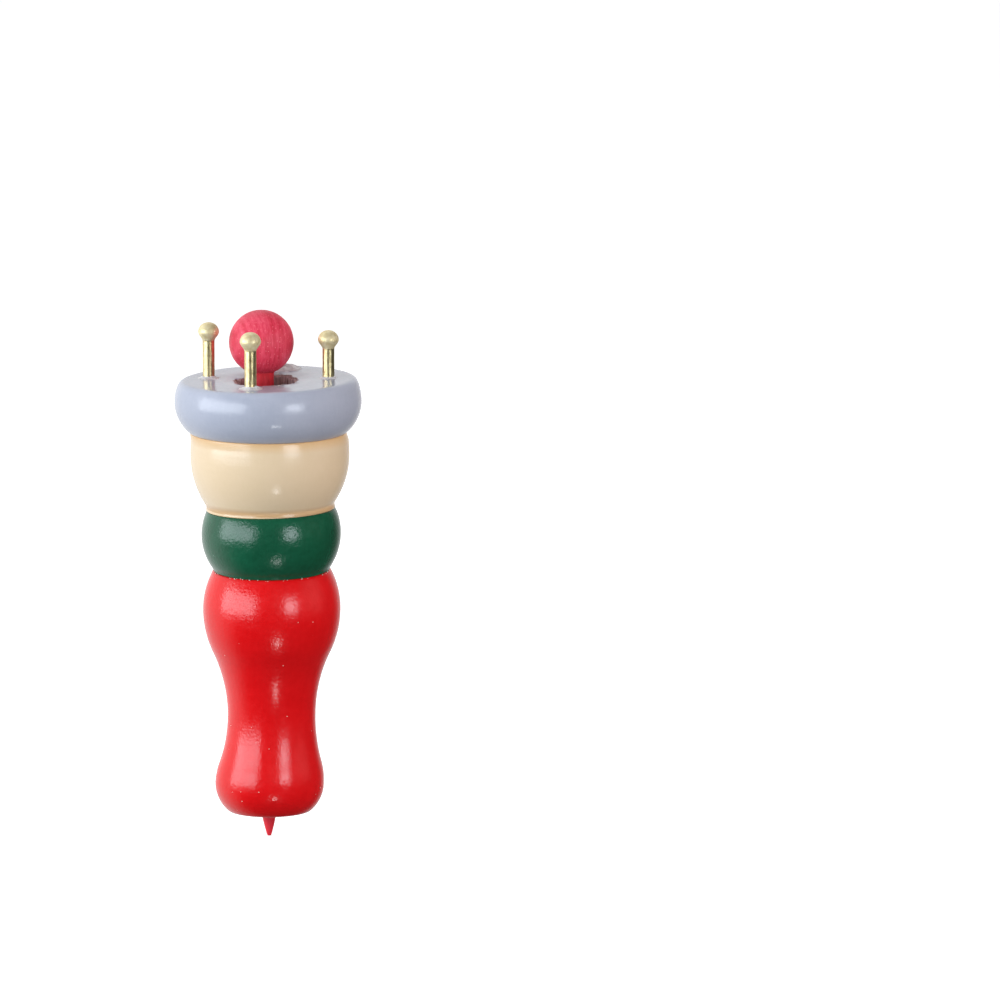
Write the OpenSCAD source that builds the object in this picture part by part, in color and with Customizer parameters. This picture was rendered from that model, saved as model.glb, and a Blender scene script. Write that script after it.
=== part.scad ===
// Hand-held knitting spool: a turned and painted wooden body with a bore right through it,
// four round-headed brass pins on its brim, and a ball-headed wooden needle kept in the bore.
// The origin is the centre of the base, +Z runs up the bore, and +X and the front (-Y) place the pins.

/* [Handle] */
// Height of the handle, from the base to the collar seam
handle_h = 43; // [36:0.5:52]
// Diameter of the flat base
base_d = 14.6; // [13:0.2:17]
// Widest diameter of the foot
foot_d = 19.2; // [18:0.2:23]
// Height of the foot's widest point above the base
foot_up = 4.9; // [4:0.1:7]
// Narrowest diameter of the waist
waist_d = 15.5; // [13.5:0.1:17]
// Height of the waist's narrowest point above the base
waist_up = 17; // [14:0.5:21]
// Widest diameter of the shoulder
shoulder_d = 24.2; // [22:0.2:29]
// Drop from the collar seam to the shoulder's widest point
shoulder_drop = 7; // [5.5:0.5:9]
// Share of the curve under the waist that is hollow, the rest swells out to the foot
foot_hollow = 0.7; // [0.4:0.05:0.8]
// Share of the curve above the waist that is hollow, the rest swells out to the shoulder
shoulder_hollow = 0.6; // [0.4:0.05:0.8]

/* [Collar] */
// Height of the collar
collar_h = 10.8; // [9:0.2:13]
// Widest diameter of the collar
collar_d = 24.5; // [23:0.1:29.5]
// Drop from the collar's top to its widest point
collar_drop = 4.4; // [3.5:0.1:5.5]
// Height of the upright lip under the collar's curve
collar_lip = 0.4; // [0.2:0.1:0.8]
// Diameter at the seam between handle and collar
collar_seam_d = 20.6; // [19:0.1:21.8]

/* [Head] */
// Height of the head
head_h = 13.6; // [11.2:0.2:16.4]
// Widest diameter of the head
head_d = 27.9; // [27.6:0.1:33]
// Drop from the head's top to its widest point
head_drop = 3.9; // [3.1:0.1:4.9]
// Height of the upright lip under the head's curve
head_lip = 0.9; // [0.4:0.1:1.2]
// Diameter at the seam between collar and head
head_seam_d = 22.5; // [20.5:0.1:22.8]
// Diameter of the head's top edge, under the brim
head_top_d = 27.4; // [24:0.1:27.4]

/* [Brim] */
// Height of the brim
brim_h = 9.4; // [8:0.1:11.5]
// Widest diameter of the brim
brim_d = 32.8; // [31.5:0.1:42]
// Diameter of the brim's bottom edge
brim_under_d = 27.6; // [24:0.1:28.6]
// Rise of the brim's underside, from its bottom edge to its upright rim
brim_rise = 4.6; // [4.2:0.1:6]
// Radius of the rounding between the underside and the rim
brim_under_r = 4; // [2:0.1:4.4]
// Radius of the brim's rounded top edge
brim_edge_r = 2; // [1.6:0.1:2.8]

/* [Bore and joints] */
// Diameter of the bore through the whole body
bore_d = 10.2; // [8.4:0.1:12.4]
// Chamfer at the bore's two mouths
mouth_chamfer = 0.3; // [0.2:0.1:0.6]
// Wall of the glued spigot round the bore, which centres each section in the next
spigot_wall = 2.4; // [1.6:0.1:3.2]
// Height of each spigot
spigot_h = 3; // [2:0.1:3.6]
// Glue gap round and above each spigot
glue_gap = 0.1; // [0.05:0.05:0.2]

/* [Pins] */
// Gap between the nearest pin's head and the needle's ball, which the pins stand round
ball_room = 0.74; // [0.4:0.01:2.5]
// Diameter of a pin's shank
pin_d = 2.1; // [1.6:0.1:2.6]
// Widest diameter of a pin's head
pin_head_d = 3.7; // [3.1:0.1:4.6]
// Height of a pin's dome above the head's widest point
pin_dome_h = 1.7; // [1.2:0.1:2.2]
// Depth of a pin's head under its widest point
pin_under_h = 1.4; // [1:0.1:1.8]
// Diameter of the flat that the hammer leaves on a pin's dome
pin_flat_d = 1; // [0.4:0.1:1.4]
// Wood left in the brim under the deepest pin's point
pin_floor = 1.6; // [0.6:0.1:3]
// Length of a pin's tapered point
pin_taper = 2; // [1.4:0.1:3]
// Height of the head's widest point above the brim, on the pins that stand proud
pin_proud = 8; // [6.6:0.1:9.2]
// The same height on the pins that are driven deeper
pin_driven = 6.9; // [5.4:0.1:7.8]

/* [Needle] */
// Length of the needle, from the centre of its ball to its tip
needle_length = 88.1; // [80:0.1:106]
// Diameter of the ball
ball_d = 11.4; // [9.6:0.2:12.4]
// Diameter of the stick
stick_d = 4.2; // [3.5:0.1:5]
// Depth of the glued end of the stick, past the centre of the ball
stick_seat = 1.5; // [0.5:0.1:2.5]
// Length of the tapered point
taper_length = 12; // [8:0.5:16]
// Diameter of the blunt tip
tip_d = 0.7; // [0.4:0.1:1.2]
// Gap between the ball's underside and the brim's top
ball_gap = 0.4; // [0.1:0.1:20]
// Sideways place of the ball's centre, from the axis of the bore
ball_x = -1.18; // [-1.5:0.01:1]
// Lean of the needle in degrees, its ball towards -X
needle_lean = 0.65; // [0:0.05:1.2]
// Gap between the stick and the bore's wall where it lies nearest
wall_gap = 0.2; // [0.1:0.05:0.4]

/* [Hidden] */
$fn = 96;

// Angle of each pin about the bore, counter-clockwise from +X
left_angle = 169;
front_angle = 255;
right_angle = 0;
back_angle = 84;

// Heights of the seams, each section standing on the one below
collar_z = handle_h;
head_z = collar_z + collar_h;
brim_z = head_z + head_h;
top_z = brim_z + brim_h;

// Place of the needle's ball, the stick lying near the rear wall at the bore's upper mouth
bore_r = bore_d / 2;
ball_up = ball_d / 2 + ball_gap;
mouth_x = ball_x + ball_up * tan(needle_lean);
needle_y = sqrt(pow(bore_r - wall_gap - stick_d / 2, 2) - pow(mouth_x, 2));
ball_z = top_z + ball_up;

// Radius of the pins' circle: the nearest pin, the back one, keeps its gap from the ball
ball_reach = (ball_d + pin_head_d) / 2 + ball_room;
ball_along = ball_x * cos(back_angle) + needle_y * sin(back_angle);
ball_across = ball_x * sin(back_angle) - needle_y * cos(back_angle);
pin_circle_r = ball_along + sqrt(pow(ball_reach, 2) - pow(ball_across, 2));

// Length of each pin, from its head's widest point to its point
pin_length = pin_driven + brim_h - pin_floor;

// Radius of the spigots
spigot_r = bore_r + spigot_wall;

// Reach by which a cutter passes the face that it opens
pass = 1;

// Radius of an arc that is upright at its start and has moved by dr and dz at its end
function arc_radius(dr, dz) = (dr * dr + dz * dz) / (2 * dr);

// Half outline that fills the space between two heights, out to a radius
module band(outer_r, one_z, other_z) {
    low_z = min(one_z, other_z);
    high_z = max(one_z, other_z);
    polygon([[0, low_z], [outer_r, low_z], [outer_r, high_z], [0, high_z]]);
}

// Half outline that swells from an edge to a widest point, where it stands upright
module swell(wide_r, wide_z, edge_r, edge_z) {
    radius = arc_radius(wide_r - edge_r, edge_z - wide_z);
    intersection() {
        band(wide_r + pass, wide_z, edge_z);
        union() {
            translate([wide_r - radius, wide_z]) circle(r = radius);
            if (wide_r > radius) band(wide_r - radius, wide_z, edge_z);
        }
    }
}

// Half outline that hollows from an edge to a narrowest point, where it stands upright
module hollow(waist_r, waist_z, edge_r, edge_z) {
    radius = arc_radius(edge_r - waist_r, edge_z - waist_z);
    difference() {
        band(edge_r + pass, waist_z, edge_z);
        translate([waist_r + radius, waist_z]) circle(r = radius);
    }
}

// Half outline of a hollow that turns smoothly into a swelling, after the given share of the way
module ogee(waist_r, waist_z, wide_r, wide_z, share) {
    join_r = waist_r + share * (wide_r - waist_r);
    join_z = waist_z + share * (wide_z - waist_z);
    hollow(waist_r, waist_z, join_r, join_z);
    swell(wide_r, wide_z, join_r, join_z);
}

// Half outline that slopes out from an edge and rounds up to its widest point, where it stands upright;
// the slope, from upright, is that of the line from the edge that just touches the rounding
module flare(wide_r, wide_z, edge_r, edge_z, radius) {
    centre_r = wide_r - radius - edge_r;
    centre_z = wide_z - edge_z;
    slope = asin(radius / norm([centre_r, centre_z])) + atan2(centre_r, centre_z);
    join_r = wide_r - radius * (1 - cos(slope));
    join_z = wide_z - radius * sin(slope);
    swell(wide_r, wide_z, join_r, join_z);
    polygon([[0, edge_z], [edge_r, edge_z], [join_r, join_z], [0, join_z]]);
}

// Half outline of the bore between two heights
module bore_cut(low_z, high_z) {
    band(bore_r, low_z - pass, high_z + pass);
}

// Half outline of the chamfer at a mouth of the bore, the body lying towards the given side
module mouth_cut(face_z, side) {
    outer_z = face_z - side * pass;
    inner_z = face_z + side * (mouth_chamfer + pass);
    polygon([[0, outer_z], [bore_r + mouth_chamfer + pass, outer_z], [bore_r - pass, inner_z], [0, inner_z]]);
}

// Half outline of the spigot that stands on a seam
module spigot(seam_z) {
    band(spigot_r, seam_z, seam_z + spigot_h);
}

// Half outline of the socket that takes that spigot
module socket_cut(seam_z) {
    band(spigot_r + glue_gap, seam_z - pass, seam_z + spigot_h + glue_gap);
}

module handle() {
    shoulder_z = handle_h - shoulder_drop;
    color("firebrick") rotate_extrude() difference() {
        union() {
            swell(foot_d / 2, foot_up, base_d / 2, 0);
            ogee(waist_d / 2, waist_up, foot_d / 2, foot_up, foot_hollow);
            ogee(waist_d / 2, waist_up, shoulder_d / 2, shoulder_z, shoulder_hollow);
            swell(shoulder_d / 2, shoulder_z, collar_seam_d / 2, collar_z);
            spigot(collar_z);
        }
        bore_cut(0, collar_z + spigot_h);
        mouth_cut(0, 1);
    }
}

module collar() {
    color("darkgreen") rotate_extrude() difference() {
        union() {
            band(collar_seam_d / 2, collar_z, collar_z + collar_lip);
            swell(collar_d / 2, head_z - collar_drop, collar_seam_d / 2, collar_z + collar_lip);
            swell(collar_d / 2, head_z - collar_drop, head_seam_d / 2, head_z);
            spigot(head_z);
        }
        bore_cut(collar_z, head_z + spigot_h);
        socket_cut(collar_z);
    }
}

module head() {
    color("blanchedalmond") rotate_extrude() difference() {
        union() {
            band(head_seam_d / 2, head_z, head_z + head_lip);
            swell(head_d / 2, brim_z - head_drop, head_seam_d / 2, head_z + head_lip);
            swell(head_d / 2, brim_z - head_drop, head_top_d / 2, brim_z);
            spigot(brim_z);
        }
        bore_cut(head_z, brim_z + spigot_h);
        socket_cut(head_z);
    }
}

module brim() {
    rim_z = brim_z + brim_rise;
    edge_z = top_z - brim_edge_r;
    color("lightsteelblue") difference() {
        rotate_extrude() difference() {
            union() {
                flare(brim_d / 2, rim_z, brim_under_d / 2, brim_z, brim_under_r);
                band(brim_d / 2, rim_z, edge_z);
                swell(brim_d / 2, edge_z, brim_d / 2 - brim_edge_r, top_z);
            }
            bore_cut(brim_z, top_z);
            mouth_cut(top_z, -1);
            socket_cut(brim_z);
        }
        pin_shape(left_angle, pin_proud);
        pin_shape(front_angle, pin_proud);
        pin_shape(right_angle, pin_driven);
        pin_shape(back_angle, pin_driven);
    }
}

// One pin, its head's widest point at the given height above the brim; the brim's holes take the same shape
module pin_shape(angle, proud) {
    taper_z = pin_taper - pin_length;
    rotate([0, 0, angle]) translate([pin_circle_r, 0, top_z + proud]) rotate_extrude() {
        swell(pin_head_d / 2, 0, pin_flat_d / 2, pin_dome_h);
        swell(pin_head_d / 2, 0, pin_d / 2, -pin_under_h);
        band(pin_d / 2, -pin_under_h, taper_z);
        polygon([[0, -pin_length], [pin_d / 2, taper_z], [0, taper_z]]);
    }
}

module pin_left() {
    color("gold") pin_shape(left_angle, pin_proud);
}

module pin_front() {
    color("gold") pin_shape(front_angle, pin_proud);
}

module pin_right() {
    color("gold") pin_shape(right_angle, pin_driven);
}

module pin_back() {
    color("gold") pin_shape(back_angle, pin_driven);
}

// Moves the needle's own frame, with its ball at the origin and its stick along -Z, to its place in the bore
module in_needle_place() {
    translate([ball_x, needle_y, ball_z]) rotate([0, -needle_lean, 0]) children();
}

module needle_ball() {
    color("palevioletred") in_needle_place() difference() {
        sphere(d = ball_d);
        translate([0, 0, -ball_d]) cylinder(d = stick_d, h = ball_d + stick_seat);
    }
}

module needle_stick() {
    taper_z = taper_length - needle_length;
    color("palevioletred") in_needle_place() rotate_extrude() {
        band(stick_d / 2, taper_z, stick_seat);
        swell(stick_d / 2, taper_z, tip_d / 2, -needle_length);
    }
}

handle();
collar();
head();
brim();
pin_left();
pin_front();
pin_right();
pin_back();
needle_ball();
needle_stick();
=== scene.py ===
# The looks of a hand-held knitting spool: four turned and painted sections, four brass pins
# and a dyed wooden needle kept in the bore. Lengths are in millimetres; mm turns them to metres.
# Angles round the bore are in degrees, from the right towards the back.
import math
import random

import bpy
import numpy as np
from mathutils import Matrix, Vector, noise


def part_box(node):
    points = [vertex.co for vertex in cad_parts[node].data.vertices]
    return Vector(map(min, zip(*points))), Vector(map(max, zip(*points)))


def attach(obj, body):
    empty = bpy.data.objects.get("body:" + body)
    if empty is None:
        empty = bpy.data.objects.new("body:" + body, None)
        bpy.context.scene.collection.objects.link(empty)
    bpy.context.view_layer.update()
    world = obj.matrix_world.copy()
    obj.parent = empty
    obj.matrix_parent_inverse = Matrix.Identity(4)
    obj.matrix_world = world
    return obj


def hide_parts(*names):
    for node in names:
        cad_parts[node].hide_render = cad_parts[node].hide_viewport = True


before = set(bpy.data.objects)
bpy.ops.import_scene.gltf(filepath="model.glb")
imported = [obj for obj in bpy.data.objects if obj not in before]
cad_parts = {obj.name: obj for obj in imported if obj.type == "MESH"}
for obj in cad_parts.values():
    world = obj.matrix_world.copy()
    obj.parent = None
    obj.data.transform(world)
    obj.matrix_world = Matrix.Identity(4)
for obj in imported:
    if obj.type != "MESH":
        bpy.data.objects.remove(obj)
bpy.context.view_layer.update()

mm = 0.001

# camera, light and floor

camera = {
    "lens": 308,           # a long lens, so the seams curve only a little
    "distance": 1500,
    "elevation": 9.4,
    "aim": (40.6, 0, 55.3),
}

lampAim = (0, 0, 45)
lamps = {
    # azimuth is counted from the front, left negative; brightness is against white at 1.
    # the soft boxes and the kicker make the highlights, the fills are kept out of the gloss
    "softboxLeft": {"azimuth": -59, "elevation": 10, "distance": 700, "size": (870, 375), "brightness": 5.2,
                    "colour": "F0F7FF", "inGloss": True},
    "softboxRight": {"azimuth": 34, "elevation": 9, "distance": 700, "size": (250, 250), "brightness": 7.2,
                     "colour": "F0F7FF", "inGloss": True},
    "kicker": {"azimuth": 12, "elevation": -38, "distance": 260, "size": (16, 16), "brightness": 50.0,
               "colour": "FFFFFF", "inGloss": True},
    "fillRight": {"azimuth": 80, "elevation": 15, "distance": 900, "size": (600, 600), "brightness": 3.6,
                  "colour": "FFF3F1", "inGloss": False},
    "fillFront": {"azimuth": 10, "elevation": 20, "distance": 900, "size": (600, 600), "brightness": 0.8,
                  "colour": "FFFAF6", "inGloss": False},
    "fillTop": {"azimuth": -30, "elevation": 62, "distance": 900, "size": (600, 600), "brightness": 1.5,
                "colour": "FFFFFF", "inGloss": False},
}

studio = {
    "white": 1.0,          # how bright the room is on its white side
    "dim": 0.06,           # and on the side away from it
    "whiteFrom": (-142, 8),  # azimuth and elevation of the white side
    "fade": (0.0, 0.8),    # where the dim side ends and the white one begins, as cosines
    "floor": "F7F7F7",
    "floorGlow": 0.64,
    "floorSize": 9000,
}


def linear(hexColour, alpha=1.0):
    channels = [int(hexColour[i:i + 2], 16) / 255 for i in (0, 2, 4)]
    return tuple(c / 12.92 if c <= 0.04045 else ((c + 0.055) / 1.055) ** 2.4 for c in channels) + (alpha,)


def addNode(tree, kind, inputs=None, stops=None, **settings):
    # adds a node, sets it up, and links every input that is given as a socket
    node = tree.nodes.new("ShaderNode" + kind)
    for key, value in settings.items():
        setattr(node, key, value)
    for key, value in (inputs or {}).items():
        if isinstance(value, bpy.types.NodeSocket):
            tree.links.new(value, node.inputs[key])
        else:
            node.inputs[key].default_value = value
    if stops:
        ramp = node.color_ramp.elements
        while len(ramp) < len(stops):
            ramp.new(0.5)
        for element, (position, colour) in zip(ramp, stops):
            element.position = position
            element.color = colour
    return node


def towards(azimuth, elevation):
    # a direction from the object, azimuth 0 being the front
    a, e = math.radians(azimuth), math.radians(elevation)
    return Vector((math.sin(a) * math.cos(e), -math.cos(a) * math.cos(e), math.sin(e)))


def setUpCamera(values):
    data = bpy.data.cameras.new("camera")
    data.lens = values["lens"]
    data.sensor_width = 36
    data.clip_start = 0.01
    eye = bpy.data.objects.new("camera", data)
    aim = Vector(values["aim"]) * mm
    line = towards(0, values["elevation"])
    eye.location = aim + line * values["distance"] * mm
    eye.rotation_euler = line.to_track_quat("Z", "Y").to_euler()
    bpy.context.scene.collection.objects.link(eye)
    bpy.context.scene.camera = eye


def setUpLamp(name, values, centre):
    data = bpy.data.lights.new(name, "AREA")
    data.shape = "RECTANGLE"
    data.size, data.size_y = (s * mm for s in values["size"])
    data.energy = values["brightness"] * math.pi * data.size * data.size_y
    data.color = linear(values["colour"])[:3]
    lamp = bpy.data.objects.new(name, data)
    line = towards(values["azimuth"], values["elevation"])
    lamp.location = centre + line * values["distance"] * mm
    lamp.rotation_euler = line.to_track_quat("Z", "Y").to_euler()
    lamp.visible_camera = False
    lamp.visible_glossy = values["inGloss"]
    bpy.context.scene.collection.objects.link(lamp)


def setUpRoom(values):
    world = bpy.data.worlds.new("room")
    bpy.context.scene.world = world
    world.use_nodes = True
    tree = world.node_tree
    tree.nodes.clear()
    way = addNode(tree, "TexCoord").outputs["Generated"]
    side = addNode(tree, "VectorMath", {0: way, 1: towards(*values["whiteFrom"])}, operation="DOT_PRODUCT")
    depth = addNode(tree, "MapRange", {
        "Value": side.outputs["Value"], "From Min": values["fade"][0], "From Max": values["fade"][1],
        "To Min": values["dim"], "To Max": values["white"],
    }, interpolation_type="SMOOTHSTEP")
    seen = addNode(tree, "LightPath").outputs["Is Camera Ray"]
    level = addNode(tree, "Mix", {0: seen, 2: depth.outputs[0], 3: 1.0})
    sky = addNode(tree, "Background", {"Color": (1, 1, 1, 1), "Strength": level.outputs[0]})
    addNode(tree, "OutputWorld", {"Surface": sky.outputs[0]})


def setUpFloor(values, height):
    half = values["floorSize"] * mm / 2
    mesh = bpy.data.meshes.new("floor")
    corners = ((-half, -half), (half, -half), (half, half), (-half, half))
    mesh.from_pydata([(x, y, height) for x, y in corners], [], [(0, 1, 2, 3)])
    material = bpy.data.materials.new("matt white card")
    material.use_nodes = True
    shader = material.node_tree.nodes["Principled BSDF"]
    shader.inputs["Base Color"].default_value = linear(values["floor"])
    shader.inputs["Roughness"].default_value = 0.9
    shader.inputs["Specular IOR Level"].default_value = 0.0
    shader.inputs["Emission Color"].default_value = (1, 1, 1, 1)
    shader.inputs["Emission Strength"].default_value = values["floorGlow"]
    mesh.materials.append(material)
    floor = bpy.data.objects.new("floor", mesh)
    bpy.context.scene.collection.objects.link(floor)
    floor.visible_glossy = False       # the card stays out of the enamel's gloss
    floor.visible_diffuse = False
    floor.visible_shadow = False


bpy.context.scene.view_settings.view_transform = "Standard"
setUpCamera(camera)
setUpRoom(studio)
for lampName, lampValues in lamps.items():
    setUpLamp(lampName, lampValues, Vector(lampAim) * mm)
setUpFloor(studio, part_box("needle_stick")[0].z)
print("camera, lamps and floor are set")

# the sections' widest points and the heights of the seams, in mm

handleHigh, collarHigh, headHigh, brimHigh = (
    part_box(name)[1] / mm for name in ("handle", "collar", "head", "brim"))
handleSeam, collarSeam, headSeam = (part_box(n)[0].z / mm for n in ("collar", "head", "brim"))
topHeight = brimHigh.z

# materials


def newMaterial(name):
    material = bpy.data.materials.new(name)
    material.use_nodes = True
    tree = material.node_tree
    return material, tree, tree.nodes["Principled BSDF"]


def setSockets(shader, values):
    for key, value in values.items():
        shader.inputs[key].default_value = value


def patterns(tree, rows, place):
    # noise patterns, each of a real size in mm along x, y and z; gives their heights by name
    heights = {}
    for name, (size, detail) in rows.items():
        stretched = addNode(tree, "VectorMath", {0: place, 1: tuple(1 / (s * mm) for s in size)},
                            operation="MULTIPLY")
        field = addNode(tree, "TexNoise", {"Vector": stretched.outputs[0], "Scale": 1.0, "Detail": detail})
        heights[name] = field.outputs["Fac"]
    return heights


def weighed(tree, parts):
    # the sum of several heights, each times its weight
    total = None
    for socket, weight in parts:
        step = addNode(tree, "Math", {0: socket, 1: weight, 2: total if total is not None else 0.0},
                       operation="MULTIPLY_ADD")
        total = step.outputs[0]
    return total


def specks(tree, place, spacing, radius, share):
    # round specks on a share of the cells of a loose grid: 1 in a speck, 0 elsewhere
    cells = addNode(tree, "TexVoronoi", {"Vector": place, "Scale": 1 / (spacing * mm)})
    dot = addNode(tree, "MapRange", {"Value": cells.outputs["Distance"], "From Min": radius / spacing,
                                     "From Max": 0.4 * radius / spacing})
    chosen = addNode(tree, "SeparateColor", {0: cells.outputs["Color"]})
    kept = addNode(tree, "Math", {0: chosen.outputs[0], 1: share}, operation="LESS_THAN")
    return addNode(tree, "Math", {0: dot.outputs[0], 1: kept.outputs[0]}, operation="MULTIPLY").outputs[0]


def wandering(tree, field, middle, below, above):
    # a roughness that varies a little on both sides of its middle value
    return addNode(tree, "MapRange", {"Value": field, "From Min": 0.3, "From Max": 0.7,
                                      "To Min": middle - below, "To Max": middle + above}).outputs[0]


nibRadius = 0.16
# how far each pattern stands up in the enamel, in mm
ringRelief, grainRelief, peelRelief = 0.006, 0.008, 0.022
enamelSpread = 0.04    # how far the enamel's roughness varies


def glossEnamel(name, look, paintedShadeAndHighlight=None):
    # oil-bound gloss enamel, brushed on turned wood: wet-looking, with orange peel and a nap that break
    # up the highlights, the wood's grain and turning rings faint under the film, and a few dust nibs, mostly
    # painted paler than the coat as painted glints
    material, tree, shader = newMaterial(name)
    place = addNode(tree, "TexCoord").outputs["Object"]
    field = patterns(tree, {
        "cloud": ((9, 9, 7), 2),
        "mottle": ((1.1, 1.1, 0.8), 2),
        "peel": ((0.6, 0.6, 0.5), 2),
        "nap": ((0.45, 0.45, 0.4), 1),
        "rings": ((40, 40, 0.55), 1),
        "grain": ((0.5, 0.5, 9), 2),
    }, place)
    tone = weighed(tree, [(field["cloud"], 0.55), (field["mottle"], 0.25), (field["grain"], 0.2)])
    body = addNode(tree, "ValToRGB", {0: tone},
                   stops=[(0.36, linear(look["deep"])), (0.64, linear(look["pale"]))])
    coat = body.outputs[0]
    if paintedShadeAndHighlight:
        # painted light on the coat: painted shade, darker and warmer, in the groove above its lower edge and
        # under the brim, and a painted highlight, a bright line on the bead where it ends below
        height = addNode(tree, "SeparateXYZ", {0: place}).outputs["Z"]
        along = addNode(tree, "MapRange",
                        {"Value": height, "From Min": paintedShadeAndHighlight[0] * mm, "From Max": paintedShadeAndHighlight[1] * mm})
        stops = [(at / (paintedShadeAndHighlight[1] - paintedShadeAndHighlight[0]), linear(colour)) for at, colour in look["paintedShadeAndHighlight"]]
        shadeAndHighlightTint = addNode(tree, "ValToRGB", {0: along.outputs[0]}, stops=stops)
        coat = addNode(tree, "Mix", {0: 1.0, 6: coat, 7: shadeAndHighlightTint.outputs[0]},
                       data_type="RGBA", blend_type="MULTIPLY").outputs[2]
    # dust nibs, raised by the bump; their colour, paler than the coat on most enamels, is partly a painted
    # glint
    nib = specks(tree, place, look["nibSpacing"], nibRadius, look["nibShare"])
    nibsDustAndGlint = addNode(tree, "Mix", {0: nib, 6: coat, 7: linear(look["nib"])}, data_type="RGBA")
    tree.links.new(nibsDustAndGlint.outputs[2], shader.inputs["Base Color"])
    rough = wandering(tree, field["mottle"], look["roughness"], enamelSpread, enamelSpread)
    tree.links.new(rough, shader.inputs["Roughness"])
    relief = weighed(tree, [(field["peel"], peelRelief * look["peel"]), (field["nap"], look["nap"]),
                            (field["rings"], ringRelief), (field["grain"], grainRelief),
                            (nib, look["nibRise"])])
    bump = addNode(tree, "Bump", {"Height": relief, "Distance": mm, "Strength": 1.0})
    tree.links.new(bump.outputs[0], shader.inputs["Normal"])
    setSockets(shader, {"IOR": 1.5})
    return material


def bareBeech(name, look):
    # bored beech, never painted: fibrous, dull and brown, greyed where fingers and yarn touch it
    material, tree, shader = newMaterial(name)
    place = addNode(tree, "TexCoord").outputs["Object"]
    field = patterns(tree, {"fibre": ((0.35, 0.35, 5), 3), "stain": ((2.5, 2.5, 4), 2)}, place)
    tone = weighed(tree, [(field["fibre"], 0.6), (field["stain"], 0.4)])
    body = addNode(tree, "ValToRGB", {0: tone},
                   stops=[(0.35, linear(look["deep"])), (0.62, linear(look["pale"]))])
    tree.links.new(body.outputs[0], shader.inputs["Base Color"])
    bump = addNode(tree, "Bump", {"Height": field["fibre"], "Distance": 0.12 * mm, "Strength": 1.0})
    tree.links.new(bump.outputs[0], shader.inputs["Normal"])
    setSockets(shader, {"Roughness": 0.75, "IOR": 1.45})
    return material


def drawnBrass(name, look):
    # brass wire nail with a pressed head: pale yellow mirror with fine drawing lines along the shank,
    # and on the head a paler, half-diffuse copy of the same brass, lit brighter as painted light
    material, tree, shader = newMaterial(name)
    place = addNode(tree, "TexCoord").outputs["Object"]
    field = patterns(tree, {"lines": ((0.12, 0.12, 3), 2), "dents": ((0.7, 0.7, 0.7), 2)}, place)
    body = addNode(tree, "ValToRGB", {0: field["dents"]},
                   stops=[(0.35, linear(look["deep"])), (0.65, linear(look["pale"]))])
    tree.links.new(body.outputs[0], shader.inputs["Base Color"])
    relief = weighed(tree, [(field["lines"], look["lineRelief"]), (field["dents"], look["dentRelief"])])
    bump = addNode(tree, "Bump", {"Height": relief, "Distance": mm, "Strength": 1.0})
    tree.links.new(bump.outputs[0], shader.inputs["Normal"])
    rough = wandering(tree, field["dents"], look["roughness"], *look["spread"])
    tree.links.new(rough, shader.inputs["Roughness"])
    setSockets(shader, {"Metallic": look["metal"]})
    return material


yearRelief, rayRelief = 0.03, 0.03    # mm that the rings and the rays stand up in the wood


def dyedBeech(name, look):
    # beech dipped in dye, no varnish: matt, with the year rings as soft arcs and the rays as pale flecks
    material, tree, shader = newMaterial(name)
    place = addNode(tree, "TexCoord").outputs["Object"]
    turned = addNode(tree, "Mapping", {"Vector": place, "Rotation": (0, 0, math.radians(look["grainTurn"]))})
    field = patterns(tree, {"years": ((0.55, 30, 6), 2), "rays": ((0.22, 0.5, 1.1), 2),
                            "cloud": ((4, 4, 4), 2)}, turned.outputs[0])
    tone = weighed(tree, [(field["years"], 0.4), (field["rays"], 0.3), (field["cloud"], 0.3)])
    body = addNode(tree, "ValToRGB", {0: tone}, stops=[
        (0.36, linear(look["deep"])), (0.5, linear(look["middle"])), (0.66, linear(look["pale"]))])
    wood = body.outputs[0]
    if "tip" in look:
        # painted light: the point is painted brighter than the shaft, as if lit from below by the floor
        height = addNode(tree, "SeparateXYZ", {0: place}).outputs["Z"]
        low, high = (at * mm for at in look["tipHeights"])
        tipLightShare = addNode(tree, "MapRange", {"Value": height, "From Min": low, "From Max": high,
                                          "To Min": 1.0, "To Max": 0.0}, interpolation_type="SMOOTHSTEP")
        wood = addNode(tree, "Mix", {0: tipLightShare.outputs[0], 6: wood, 7: linear(look["tip"])},
                       data_type="RGBA").outputs[2]
    fleck = specks(tree, place, look["fleckSpacing"], look["fleckRadius"], look["fleckShare"])
    flecked = addNode(tree, "Mix", {0: fleck, 6: wood, 7: linear(look["fleck"])}, data_type="RGBA")
    tree.links.new(flecked.outputs[2], shader.inputs["Base Color"])
    relief = weighed(tree, [(field["years"], yearRelief), (field["rays"], rayRelief)])
    bump = addNode(tree, "Bump", {"Height": relief, "Distance": mm, "Strength": 1.0})
    tree.links.new(bump.outputs[0], shader.inputs["Normal"])
    setSockets(shader, {"Roughness": look["roughness"], "IOR": 1.45})
    return material


# a nib colour paler than its coat, as on the red and the green, is a painted glint on real dust nibs
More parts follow.
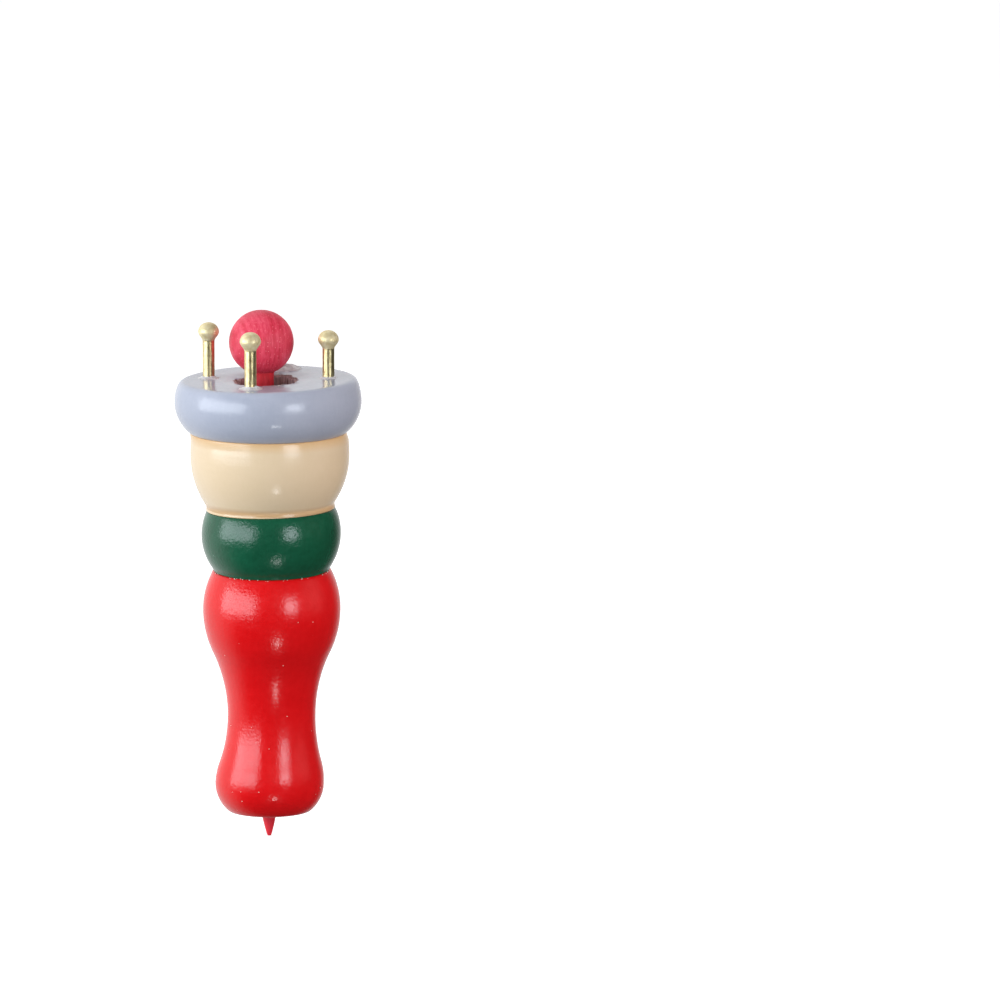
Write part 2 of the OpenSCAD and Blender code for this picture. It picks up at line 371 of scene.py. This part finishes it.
enamels = {
    "red": {"deep": "DB0B10", "pale": "E51116", "nib": "F0A8A0", "nibSpacing": 2.6, "nibShare": 0.14,
            "nibRise": 0.03, "roughness": 0.22, "peel": 1.0, "nap": 0.028},
    "green": {"deep": "0E4B32", "pale": "135A3E", "nib": "5F8F78", "nibSpacing": 2.4, "nibShare": 0.12,
              "nibRise": 0.03, "roughness": 0.22, "peel": 1.2, "nap": 0.03},
    "cream": {"deep": "E6CEAA", "pale": "E9D1AF", "nib": "F2E2C6", "nibSpacing": 4.5, "nibShare": 0.0,
              "nibRise": 0.0, "roughness": 0.21, "peel": 0.5, "nap": 0.006,
              # painted shade and a painted highlight by height over the section's foot, in mm: the highlight
              # on the bead, the shade in the groove above it and under the brim
              "paintedShadeAndHighlight": ((0, "FFF9F0"), (0.18, "FFF9F0"), (0.3, "DDCAB2"), (0.8, "EBD9C4"), (1.7, "FFFFFF"),
                       (11.7, "FFFFFF"), (12.8, "FDF1E0"), (13.4, "FAE6CC"))},
    "grey": {"deep": "AAB0C0", "pale": "B2B7C6", "nib": "4A5460", "nibSpacing": 7.5, "nibShare": 0.05,
             "nibRise": 0.01, "roughness": 0.2, "peel": 0.7, "nap": 0.005},
    "mound": {"deep": "BEBCC0", "pale": "DAD8DA", "nib": "EFEDEA", "nibSpacing": 1.4, "nibShare": 0.2,
              "nibRise": 0.03, "roughness": 0.35, "peel": 1.2, "nap": 0.006},
    "primer": {"deep": "BFC3B2", "pale": "E6E2D4", "nib": "F4F2EA", "nibSpacing": 1.4, "nibShare": 0.2,
               "nibRise": 0.01, "roughness": 0.5, "peel": 1.0, "nap": 0.006},
}
redEnamel = glossEnamel("red gloss enamel", enamels["red"])
greenEnamel = glossEnamel("green gloss enamel", enamels["green"])
# the cream coat carries painted shade and a painted highlight between these two heights
creamEnamel = glossEnamel("cream gloss enamel", enamels["cream"], (collarSeam, headSeam))
greyEnamel = glossEnamel("blue-grey gloss enamel", enamels["grey"])
pooledEnamel = glossEnamel("pooled pale enamel", enamels["mound"])
barePrimer = glossEnamel("chipped white primer", enamels["primer"])
boredBeech = bareBeech("bored bare beech", {"deep": "6A474A", "pale": "BCA29F"})
brasses = {
    "shank": {"deep": "D8C28C", "pale": "EADBA8", "roughness": 0.33, "metal": 1.0,
              "spread": (0.04, 0.06), "lineRelief": 0.0012, "dentRelief": 0.012},
    # the head's brass is paler and half diffuse, a lit copy of the shank's: painted light
    "head": {"deep": "E8D6A2", "pale": "F8EBC0", "roughness": 0.46, "metal": 0.5,
             "spread": (0.04, 0.06), "lineRelief": 0.0012, "dentRelief": 0.012},
}
shankBrass = drawnBrass("drawn brass", brasses["shank"])
litHeadBrass = drawnBrass("pressed brass lit paler", brasses["head"])
dyes = {
    "ball": {"deep": "CA293E", "middle": "DE3A52", "pale": "EE5B73", "roughness": 0.48, "grainTurn": -22,
             "fleck": "F48593", "fleckSpacing": 0.42, "fleckRadius": 0.1, "fleckShare": 0.5},
    "dowel": {"deep": "B01926", "middle": "C82230", "pale": "D43040", "roughness": 0.55, "grainTurn": 38,
              "fleck": "E05663", "fleckSpacing": 0.8, "fleckRadius": 0.1, "fleckShare": 0.5,
              # the point's brighter colour is painted light from below, fading out between these heights
              "tip": "F23040", "tipHeights": (-2, 9)},
}
dyedBall = dyedBeech("dyed beech", dyes["ball"])
dyedDowel = dyedBeech("dyed beech dowel", dyes["dowel"])
print("materials are mixed")

# turned work


def arcPoints(centre, radius, start, end, step=0.06):
    count = max(3, int(abs(end - start) * abs(radius) / step))
    return [(centre[0] + radius * math.cos(start + (end - start) * i / count),
             centre[1] + radius * math.sin(start + (end - start) * i / count)) for i in range(count + 1)]


def swelling(wide, edge):
    # arc from a widest point, upright there, to an edge
    run, rise = wide[0] - edge[0], edge[1] - wide[1]
    radius = (run * run + rise * rise) / (2 * run)
    centre = (wide[0] - radius, wide[1])
    return arcPoints(centre, radius, 0, math.atan2(edge[1] - centre[1], edge[0] - centre[0]))


def hollowing(waist, edge):
    # arc from a narrowest point, upright there, to an edge
    run, rise = edge[0] - waist[0], edge[1] - waist[1]
    radius = (run * run + rise * rise) / (2 * run)
    end = math.asin(rise / radius)
    return [(2 * (waist[0] + radius) - r, z)
            for r, z in arcPoints((waist[0] + radius, waist[1]), radius, 0, end)]


def ogee(waist, wide, share):
    # hollow from the waist that turns into the swelling of the widest point
    join = (waist[0] + share * (wide[0] - waist[0]), waist[1] + share * (wide[1] - waist[1]))
    return hollowing(waist, join) + swelling(wide, join)[::-1]


fineStep = 0.03


def evenLoop(corners, step, softness):
    # closed outline with even steps and its corners softened
    points = np.array(corners + corners[:1], float)
    keep = np.append(True, np.linalg.norm(np.diff(points, axis=0), axis=1) > 1e-6)
    points = points[keep]
    along = np.append(0, np.cumsum(np.linalg.norm(np.diff(points, axis=0), axis=1)))
    fine = np.linspace(0, along[-1], int(along[-1] / fineStep), endpoint=False)
    dense = np.stack([np.interp(fine, along, points[:, k]) for k in (0, 1)], axis=1)
    reach = int(4 * softness / fineStep)
    weights = np.exp(-0.5 * (np.arange(-reach, reach + 1) * fineStep / softness) ** 2)
    weights /= weights.sum()
    wrapped = np.concatenate([dense[-reach:], dense, dense[:reach]])
    soft = np.stack([np.convolve(wrapped[:, k], weights, "valid") for k in (0, 1)], axis=1)
    return soft[::max(1, round(step / fineStep))]


def makePiece(name, vertices, faces, materials, picks=None):
    mesh = bpy.data.meshes.new(name)
    mesh.from_pydata(vertices, [], faces)
    for material in materials:
        mesh.materials.append(material)
    if picks is not None:
        mesh.polygons.foreach_set("material_index", picks)
    mesh.polygons.foreach_set("use_smooth", [True] * len(mesh.polygons))
    mesh.update()
    piece = bpy.data.objects.new(name, mesh)
    bpy.context.scene.collection.objects.link(piece)
    return piece


def lathe(name, loop, turns, form, materials, pick=None):
    # turns a closed outline about z; form gives each point's place from its radius, height and angle in mm
    rings = len(loop)
    vertices = [form(r, z, 2 * math.pi * t / turns) * mm for r, z in loop for t in range(turns)]
    faces, picks = [], []
    for i in range(rings):
        low, high = i * turns, (i + 1) % rings * turns
        for t in range(turns):
            u = (t + 1) % turns
            faces.append((low + t, low + u, high + u, high + t))
            if pick:
                picks.append(pick(loop[i][0], loop[i][1], 2 * math.pi * (t + 0.5) / turns))
    return makePiece(name, vertices, faces, materials, picks if pick else None)


def roughly(x, y, z, size, seed):
    # smooth noise from -1 to 1 with the given size in mm
    return noise.noise(Vector((x / size + seed * 7.3, y / size - seed * 3.1, z / size + seed * 1.7)))


# how far each height of the painted outside sits to +X of the bore's line, in mm
boreDrift = ((-10, 0), (5, 0), (7, 0.1), (9, 0.2), (12, 0.32), (17, 0.42), (25, 0.42), (33, 0.49),
             (42, 0.55), (44.5, 0.5), (53, 0.45), (55, 0.32), (66, 0.3), (67.4, 0), (90, 0))
driftHeights, driftAmounts = zip(*boreDrift)

# tilt of each seam, the right end higher, in degrees
seamTilts = ((0, 0), (32, 0), (43, 0.5), (53.8, 1.4), (62, 0), (90, 0))
tiltHeights, tiltAmounts = zip(*seamTilts)

# and how far each seam dips at the front, in degrees
seamDips = ((0, 0), (33, 0), (41.5, 1.6), (44.5, 1.6), (49, 0), (90, 0))
dipHeights, dipAmounts = zip(*seamDips)

boreRadius = 5.1
turns = 200        # faces around a section
axisGap = 0.02     # a solid outline stops this short of its axis

turning = {
    "wobble": 0.035,       # how far a section is out of round
    "wobbleSize": 3.0,
    "ring": 0.006,         # depth of the tool's rings
    "ringSize": 0.5,
    "skin": (0.5, 2.0),    # over this distance from the bore the offsets and tilts fade in
    "bare": 0.35,          # how far out from the bore the enamel stops
    "ragged": 0.25,        # and how uneven that edge is
    "raggedSize": 0.3,
}


def turnedForm(seed):
    # a section's outside: off the bore's line, seams tilted, a little out of round, faint tool rings
    wobble, (inner, outer) = turning["wobble"], turning["skin"]

    def form(r, z, angle):
        c, s = math.cos(angle), math.sin(angle)
        outside = min(1, max(0, (r - boreRadius - inner) / (outer - inner)))
        swing = roughly(4 * c, 4 * s, z * 0.3, turning["wobbleSize"], seed) * wobble
        swing += roughly(0, 0, z, turning["ringSize"], seed + 5) * turning["ring"]
        rr = r + min(0, swing - 0.5 * wobble) * outside
        x = rr * c + outside * np.interp(z, driftHeights, driftAmounts)
        y = rr * s
        tilt = math.tan(math.radians(np.interp(z, tiltHeights, tiltAmounts)))
        dip = math.tan(math.radians(np.interp(z, dipHeights, dipAmounts)))
        return Vector((x, y, z + outside * (tilt * x + dip * y)))
    return form


handle = {
    "baseWidth": 14.6, "footWidth": 19.2, "footUp": 4.9, "waistWidth": 15.5, "waistUp": 17,
    "shoulderDrop": 7, "footHollow": 0.7, "shoulderHollow": 0.6, "seamWidth": 20.6,
    "softness": 0.13,      # rounding of the paint over its corners
    "mouthRound": 0.3,     # size of the break at the bore's lower edge
    "step": 0.27, "seed": 11,
}


def inBore(r, z, angle):
    # the bore's wall and a ragged edge of it, where the enamel stops
    uneven = roughly(math.cos(angle), math.sin(angle), z * 0.2, turning["raggedSize"], 3)
    return 1 if r < boreRadius + turning["bare"] + turning["ragged"] * uneven else 0


def makeHandle(values):
    foot = (values["footWidth"] / 2, values["footUp"])
    waist = (values["waistWidth"] / 2, values["waistUp"])
    shoulder = (handleHigh.x, handleSeam - values["shoulderDrop"])
    outline = swelling(foot, (values["baseWidth"] / 2, 0))[::-1]
    outline += ogee(waist, foot, values["footHollow"])[::-1]
    outline += ogee(waist, shoulder, values["shoulderHollow"])
    outline += swelling(shoulder, (values["seamWidth"] / 2, handleSeam))
    outline += [(boreRadius, handleSeam)]
    outline += [(boreRadius, values["mouthRound"]), (boreRadius + values["mouthRound"], 0)]
    loop = evenLoop(outline, values["step"], values["softness"])
    form = turnedForm(values["seed"])
    piece = lathe("turnedHandle", loop, turns, form, [redEnamel, boredBeech], inBore)
    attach(piece, "spool")
    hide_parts("handle")
    return loop, form


flecks = {
    # chips where the coat has lifted off its white primer: how many, between which heights
    # (from the seam's for those in the seam), their widths and the longest against its width
    "seam": {"count": 60, "heights": (-0.16, 0.1), "width": (0.07, 0.2), "stretch": 2.4},
    "foot": {"count": 16, "heights": (1.0, 5.5), "width": (0.1, 0.22), "stretch": 1.5},
    "body": {"count": 16, "heights": (7, 40), "width": (0.08, 0.16), "stretch": 1.5},
    "rise": 0.3,           # height of a chip's middle against its half width
    "rings": ((1.0, -0.35), (0.62, 0.75)),  # reach and height of its two rings of corners
    "sides": 9,
    "uneven": (0.8, 1.2),
    "seed": 7,
    "proud": 0.02,         # how far the ones in the seam stand out from it
    "nextAngle": 0.01, "nextHeight": 0.2,   # steps over which the surface's own directions are taken
    "skin": 1.2,           # the outside of a section is further than this from the bore
}


def makeFlecks(values, seamRadius, loop, form):
    dice = random.Random(values["seed"])
    outside = sorted((z, r) for r, z in loop if r > boreRadius + values["skin"])
    heights, radii = zip(*outside)
    sides, nextHeight = values["sides"], values["nextHeight"]
    vertices, faces = [], []
    for name in ("seam", "foot", "body"):
        group = values[name]
        level = handleSeam if name == "seam" else 0
        for _ in range(group["count"]):
            angle, z = dice.uniform(0, 2 * math.pi), level + dice.uniform(*group["heights"])
            r = seamRadius if name == "seam" else float(np.interp(z, heights, radii))
            here = form(r, z, angle)
            along = (form(r, z, angle + values["nextAngle"]) - here).normalized()
            if name == "seam":
                upward = Vector((0, 0, 1))
            else:
                above = float(np.interp(z + nextHeight, heights, radii))
                upward = (form(above, z + nextHeight, angle) - here).normalized()
            outward = along.cross(upward)
            half = dice.uniform(*group["width"]) / 2
            stretch = dice.uniform(1, group["stretch"])
            first = len(vertices)
            for reach, rise in values["rings"]:
                for k in range(sides):
                    turn = 2 * math.pi * k / sides
                    out = half * reach * dice.uniform(*values["uneven"])
                    spot = here + along * out * stretch * math.cos(turn) + upward * out * math.sin(turn)
                    vertices.append((spot + outward * half * values["rise"] * rise) * mm)
            vertices.append((here + outward * half * values["rise"]) * mm)
            vertices.append((here - outward * half) * mm)
            second, middle = first + sides, first + 2 * sides
            for k in range(sides):
                n = (k + 1) % sides
                faces.append((first + k, first + n, second + n, second + k))
                faces.append((second + k, second + n, middle))
                faces.append((first + n, first + k, middle + 1))
    piece = makePiece("primerChips", vertices, faces, [barePrimer])
    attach(piece, "spool")


collar = {
    "seamWidth": 20.6, "lip": 0.4, "drop": 4.4, "topWidth": 22.5,
    "softness": 0.16, "step": 0.24, "seed": 12,
}


def makeCollar(values):
    wide = (collarHigh.x, collarSeam - values["drop"])
    outline = [(values["seamWidth"] / 2, handleSeam)]
    outline += swelling(wide, (values["seamWidth"] / 2, handleSeam + values["lip"]))[::-1]
    outline += swelling(wide, (values["topWidth"] / 2, collarSeam))
    outline += [(boreRadius, collarSeam), (boreRadius, handleSeam)]
    loop = evenLoop(outline, values["step"], values["softness"])
    form = turnedForm(values["seed"])
    piece = lathe("turnedCollar", loop, turns, form, [greenEnamel, boredBeech], inBore)
    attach(piece, "spool")
    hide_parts("collar")


head = {
    "seamWidth": 22.5, "lip": 0.9, "drop": 3.9, "topWidth": 27.4,
    "bead": 0.1,           # how far the thick edge of the paint stands proud of the foot
    "beadUp": (0.2, 0.38), # the heights where it begins to fall back, and has done
    "softness": 0.1, "step": 0.24, "seed": 13,
}


def makeHead(values):
    wide = (headHigh.x, headSeam - values["drop"])
    foot, bead = values["seamWidth"] / 2, values["bead"]
    low, high = values["beadUp"]
    outline = [(foot + bead, collarSeam), (foot + bead, collarSeam + low), (foot, collarSeam + high)]
    outline += swelling(wide, (foot, collarSeam + values["lip"]))[::-1]
    outline += swelling(wide, (values["topWidth"] / 2, headSeam))
    outline += [(boreRadius, headSeam), (boreRadius, collarSeam)]
    loop = evenLoop(outline, values["step"], values["softness"])
    form = turnedForm(values["seed"])
    piece = lathe("turnedHead", loop, turns, form, [creamEnamel, boredBeech], inBore)
    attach(piece, "spool")
    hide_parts("head")


brim = {
    "underWidth": 27.4, "rise": 5.5, "topWidth": 30.8,
    "edgeRound": 0.8,      # reach of the rounding where the side meets the flat top
    "softness": 0.13, "step": 0.2, "seed": 14, "turns": 260,
    "faceFade": (3.0, 2.8),    # the top's lean and waves begin this far under it and grow over this height
    "dish": (0.3, 5.4, 1.9),   # how far the flat top sinks at the hole, to which radius, and its reach
    "ripple": (0.035, 2.6),    # waves of the brush in the flat top, and their size
    "tilt": 1.1,           # how far the top face was cut out of square, in degrees, its right side higher
    "dip": 0.8,            # and its front lower
    "chip": (0.42, 0.62),  # depth and size of the breaks in the hole's edge
    "chipAt": (5.3, 0.45), # the radius they centre on, and their reach
    "enamelEdge": 5.45,    # the radius where the enamel stops
    # where it is worn further back: angle, spread and how far out
    "worn": ((58, 26, 1.0), (185, 22, 0.35)),
    "mouthRound": 0.35,    # size of the break at the hole's edge
    "mouthShift": -0.3,    # the hole runs a little off the middle of the top
}


def rounded(before, corner, after, count=10):
    # quadratic curve that rounds a corner
    points = []
    for t in np.linspace(0, 1, count):
        parts = list(zip(((1 - t) ** 2, 2 * t * (1 - t), t * t), (before, corner, after)))
        points.append(tuple(sum(weight * spot[k] for weight, spot in parts) for k in (0, 1)))
    return points


def topLean(x, y):
    # how far the top face stands above or below square at a place
    return x * math.tan(math.radians(brim["tilt"])) + y * math.tan(math.radians(brim["dip"]))


def makeBrim(values):
    wide = (brimHigh.x, headSeam + values["rise"])
    edge, reach = (values["topWidth"] / 2, topHeight - 0.02), values["edgeRound"]
    outline = swelling((wide[0], -wide[1]), (values["underWidth"] / 2, -headSeam))
    outline = [(r, -z) for r, z in outline[::-1]]
    side = [spot for spot in swelling(wide, edge) if spot[1] < edge[1] - reach]
    outline += side + rounded(side[-1], edge, (edge[0] - reach, edge[1]))
    outline += [(boreRadius + values["mouthRound"], edge[1]), (boreRadius, edge[1] - values["mouthRound"])]
    outline += [(boreRadius, headSeam)]
    loop = evenLoop(outline, values["step"], values["softness"])
    plain = turnedForm(values["seed"])
    under, grow = values["faceFade"]
    dish, dishRadius, dishReach = values["dish"]
    ripple, rippleSize = values["ripple"]
    (chip, chipSize), (chipRadius, chipReach) = values["chip"], values["chipAt"]

    def form(r, z, angle):
        place = plain(r, z, angle)
        upper = min(1, max(0, (z - topHeight + under) / grow))
        if upper > 0:
            c, s = math.cos(angle), math.sin(angle)
            place.z += upper * topLean(r * c, r * s)
            place.x += upper * values["mouthShift"] * min(1, max(0, (9 - r) / 3))
            flat = upper * min(1, max(0, (16 - r) / 2))
            place.z += flat * ripple * roughly(r * c, r * s, 0, rippleSize, 21)
            place.z -= flat * dish * math.exp(-(max(0, r - dishRadius) / dishReach) ** 2)
            breaks = max(0, roughly(2.2 * c, 2.2 * s, z * 0.4, chipSize, 22) + 0.1)
            nearTop = min(1, max(0, (z - topHeight + 1.2) / 0.8))
            nearMouth = math.exp(-((r - chipRadius) / chipReach) ** 2) * nearTop
            place += Vector((c, s, -0.7)) * breaks * chip * nearMouth * 1.6
        return place

    def pick(r, z, angle):
        c, s = math.cos(angle), math.sin(angle)
        limit = values["enamelEdge"]
        limit += 0.5 * roughly(2.2 * c, 2.2 * s, 0, 0.5, 22) + 0.2 * roughly(c, s, 0, 0.12, 23)
        for wornAt, spread, out in values["worn"]:
            limit += out * math.exp(-((math.degrees(angle) - wornAt) / spread) ** 2)
        return 1 if r < limit else 0

    piece = lathe("turnedBrim", loop, values["turns"], form, [greyEnamel, boredBeech], pick)
    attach(piece, "spool")
    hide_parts("brim")


handleSurface = makeHandle(handle)
makeFlecks(flecks, handle["seamWidth"] / 2 + flecks["proud"], *handleSurface)
makeCollar(collar)
makeHead(head)
makeBrim(brim)
print("the four turned sections are made")

# pins

pins = {
    "shankWidth": 2.1, "domeHeight": 1.7, "underDepth": 1.5, "taper": 2.0,
    "domeBulge": (0.92, 1.05), "flareBulge": 0.8,
    "swell": 0.02, "swellSize": 1.4,  # how uneven the metal is
    "step": 0.12, "softness": 0.09, "turns": 48, "seed": 30,
    "names": ("pin_left", "pin_front", "pin_right", "pin_back"),
}


def makePin(node, values, seed):
    low, high = (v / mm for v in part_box(node))
    middle = (low + high) / 2
    headRadius = (high.x - low.x) / 2
    wideZ = high.z - values["domeHeight"]
    shank = values["shankWidth"] / 2
    out, up = values["domeBulge"]
    dome = [(headRadius * math.cos(a) ** out, wideZ + values["domeHeight"] * math.sin(a) ** up)
            for a in np.linspace(0, math.pi / 2 - 0.02, 24)]
    flare = [(shank + (headRadius - shank) * (1 - t * t * (3 - 2 * t)) ** values["flareBulge"],
              wideZ - values["underDepth"] * t) for t in np.linspace(0, 1, 18)]
    outline = [(axisGap, low.z), (shank, low.z + values["taper"])] + flare[::-1]
    outline += dome[1:] + [(axisGap, high.z)]
    loop = evenLoop(outline, values["step"], values["softness"])

    def form(r, z, angle):
        c, s = math.cos(angle), math.sin(angle)
        swell = values["swell"] * roughly(2 * c, 2 * s, z, values["swellSize"], seed) * min(1, r)
        return Vector((middle.x + (r + swell) * c, middle.y + (r + swell) * s, z))

    def pick(r, z, angle):
        return 1 if z > wideZ - values["underDepth"] else 0

    piece = lathe(node + "_nail", loop, values["turns"], form, [shankBrass, litHeadBrass], pick)
    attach(piece, "spool")
    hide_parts(node)
    return middle


mounds = {
    # reach and height of the paint pooled at each pin, how far it has run to +X,
    # and its side: over 1 climbs the pin, under 1 is a blob
    "pin_left": (2.1, 0.42, 0, 1.6), "pin_front": (2.4, 0.5, 0.1, 1.6), "pin_right": (1.65, 0.28, 0, 1.6),
    "pin_back": (3.0, 0.95, 1.6, 0.75),
    "sunk": 0.3,           # how deep its floor is set into the top
    "lip": 0.05,           # and its edge
    "core": (1.05, 0.5),   # radius of its flat middle, less the run, and the least it may be
    "lump": (0.4, 0.9), "bump": (0.45, 1.1),  # how uneven it is outward and upward, and the size of that
    "step": 0.1, "softness": 0.07, "turns": 72, "seed": 40,
}


def makeMound(node, centre, values, seed):
    # paint pooled against the foot of a pin
    reach, height, run, climb = values[node]
    (lump, lumpSize), (bump, bumpSize) = values["lump"], values["bump"]
    whole, least = values["core"]
    core = max(least, whole - run)
    floor, lip = topHeight - values["sunk"], values["lip"]
    outline = [(axisGap, floor), (reach, floor), (reach, topHeight - lip)]
    outline += [(reach - (reach - core) * t, topHeight - lip + (height + lip) * t ** climb)
                for t in np.linspace(0, 1, 14)[1:]]
    outline += [(axisGap, topHeight + height)]
    loop = evenLoop(outline, values["step"], values["softness"])

    def form(r, z, angle):
        c, s = math.cos(angle), math.sin(angle)
        out = max(0, r - 1.0) / (reach - 1.0)
        rr = r + lump * roughly(2 * c, 2 * s, r, lumpSize, seed) * out
        top = max(0, z - topHeight)
        x, y = centre.x + run + rr * c, centre.y + rr * s
        return Vector((x, y, z + topLean(x, y) + bump * top * roughly(r * c, r * s, 0, bumpSize, seed + 9)))

    piece = lathe(node + "_paint", loop, values["turns"], form, [pooledEnamel])
    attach(piece, "spool")


for count, pinName in enumerate(pins["names"]):
    foot = makePin(pinName, pins, pins["seed"] + count)
    makeMound(pinName, foot, mounds, mounds["seed"] + count)
print("the pins are driven and their paint has pooled")

# needle

needle = {
    "lean": 0.65, "length": 88.1, "stickWidth": 4.2, "seat": 1.5, "taper": 12, "tipWidth": 0.7,
    "grainTurn": 38,       # where the year rings stand about the needle, in degrees
    "groove": 0.035,       # depth of the open grain
    "grooveSize": 0.5, "fineSize": 0.45,
    "ballStep": 0.2, "ballSoftness": 0.08, "ballTurns": 160,
    "stickStep": 0.22, "stickSoftness": 0.05, "stickTurns": 72,
    "fillet": 0.12,        # how far the paint fills the corner where the stick meets the ball
}


def grooveDepth(x, y, z, values):
    turn = math.radians(values["grainTurn"])
    u = x * math.cos(turn) + y * math.sin(turn)
    wide = roughly(u, 0.02 * y, z * 0.08, values["grooveSize"], 51)
    return values["groove"] * (wide + 0.5 * roughly(x, y, z * 0.3, values["fineSize"], 52))


def makeNeedle(values):
    low, high = (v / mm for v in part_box("needle_ball"))
    radius = (high.x - low.x) / 2
    centre = Vector(((low.x + high.x) / 2, (low.y + high.y) / 2, high.z - radius))
    place = Matrix.Translation(centre) @ Matrix.Rotation(-math.radians(values["lean"]), 4, "Y")
    stick = values["stickWidth"] / 2
    neck = -math.sqrt(radius * radius - stick * stick)

    def form(r, z, angle):
        x, y = r * math.cos(angle), r * math.sin(angle)
        sink = grooveDepth(x, y, z, values)
        size = max(0.001, math.sqrt(r * r + (z * z if z > neck - 0.5 else 0)))
        fade = min(1, r / 0.8)
        scale = 1 + min(0, sink - 0.3 * values["groove"]) * fade / size
        return place @ Vector((x * scale, y * scale, z * scale if z > neck - 0.5 else z))

    ballLoop = arcPoints((0, 0), radius, -math.pi / 2 + math.asin(stick / radius), math.pi / 2 - 0.01)
    ballLoop += [(axisGap, values["seat"]), (stick - axisGap, values["seat"])]
    ballLoop = evenLoop(ballLoop, values["ballStep"], values["ballSoftness"])
    piece = lathe("dyedBall", ballLoop, values["ballTurns"], form, [dyedBall])
    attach(piece, "needle")
    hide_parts("needle_ball")

    taperZ = values["taper"] - values["length"]
    outline = [(axisGap, values["seat"]), (axisGap, -values["length"])]
    outline += swelling((stick, taperZ), (values["tipWidth"] / 2, -values["length"]))[::-1]
    outline += [(stick, neck - 1), (stick + 0.02, neck - 0.4)]
    outline += [(stick + values["fillet"], neck + 0.02), (stick, values["seat"])]
    stickLoop = evenLoop(outline, values["stickStep"], values["stickSoftness"])
    piece = lathe("dyedStick", stickLoop, values["stickTurns"], form, [dyedDowel])
    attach(piece, "needle")
    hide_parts("needle_stick")


makeNeedle(needle)
print("the needle is made")
